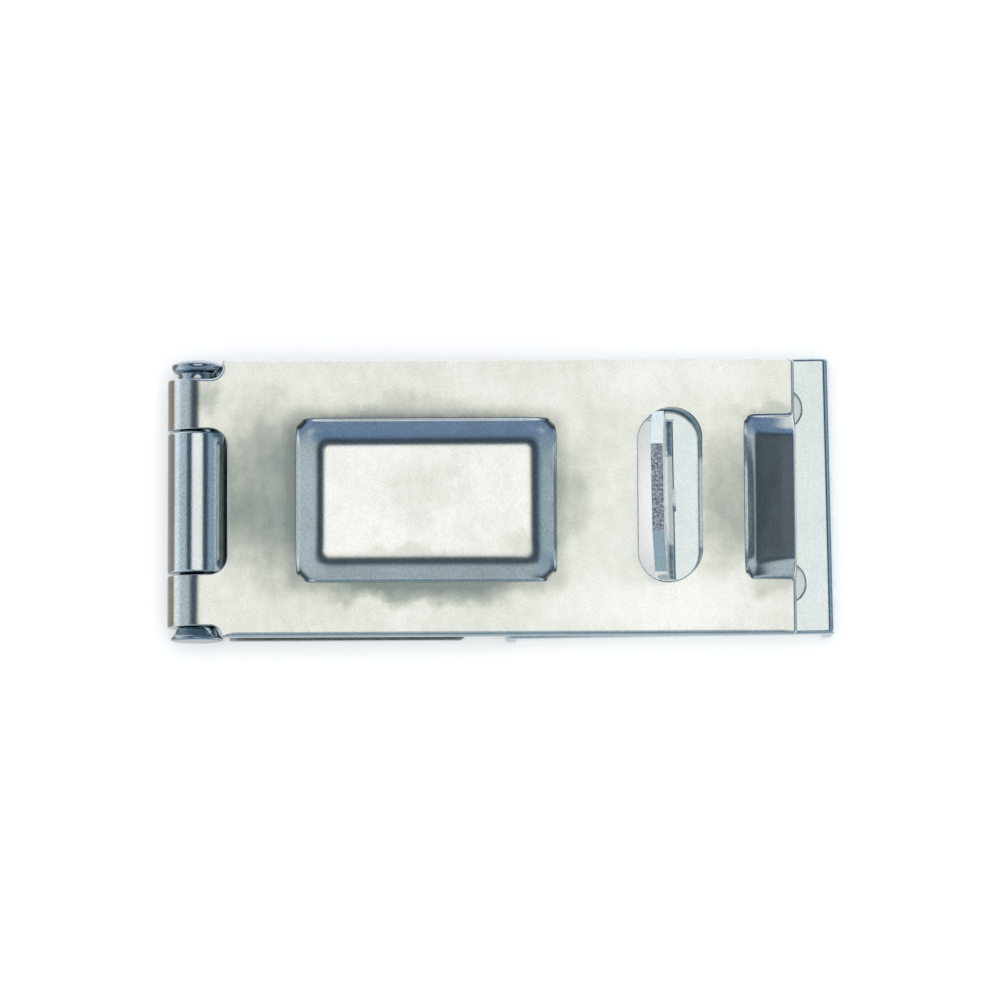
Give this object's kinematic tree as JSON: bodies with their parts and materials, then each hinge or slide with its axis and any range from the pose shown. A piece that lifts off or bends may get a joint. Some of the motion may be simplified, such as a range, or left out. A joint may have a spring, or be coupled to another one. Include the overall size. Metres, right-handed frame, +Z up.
{
  "type": "padlock hasp",
  "caption": "Zinc plated steel hasp: a hinged strap with a raised panel, a slot and a finger lift closes over a staple plate whose bent up staple takes a padlock shackle.",
  "frame": {"origin": "centre of the whole hasp's footprint, on the surface that it is screwed to", "axes": "+X from the hinge barrel to the staple plate's far end, +Y across the plates, +Z up out of the mounting surface, the way the staple stands"},
  "size_m": [0.0914, 0.0387, 0.0224],
  "materials": {
    "plated_leaf": "bright zinc plating over sheet steel, fine grain, lightly clouded",
    "plated_plate": "bright zinc plating over sheet steel, slightly bluer, sheared edges",
    "plated_pin": "bright zinc plating over a headed steel pin"
  },
  "bodies": {
    "base": {"hinge_plate": "plated_plate", "hinge_pin": "plated_pin", "staple_plate": "plated_plate"},
    "leaf": {"hasp_leaf": "plated_leaf"}
  },
  "joints": [
    {"name": "leaf_swing", "type": "hinge", "parent": "base", "child": "leaf", "pos_m": [-0.0416, 0, 0.0041], "axis": [0, -1, 0], "range_deg": [0, 170]}
  ]
}
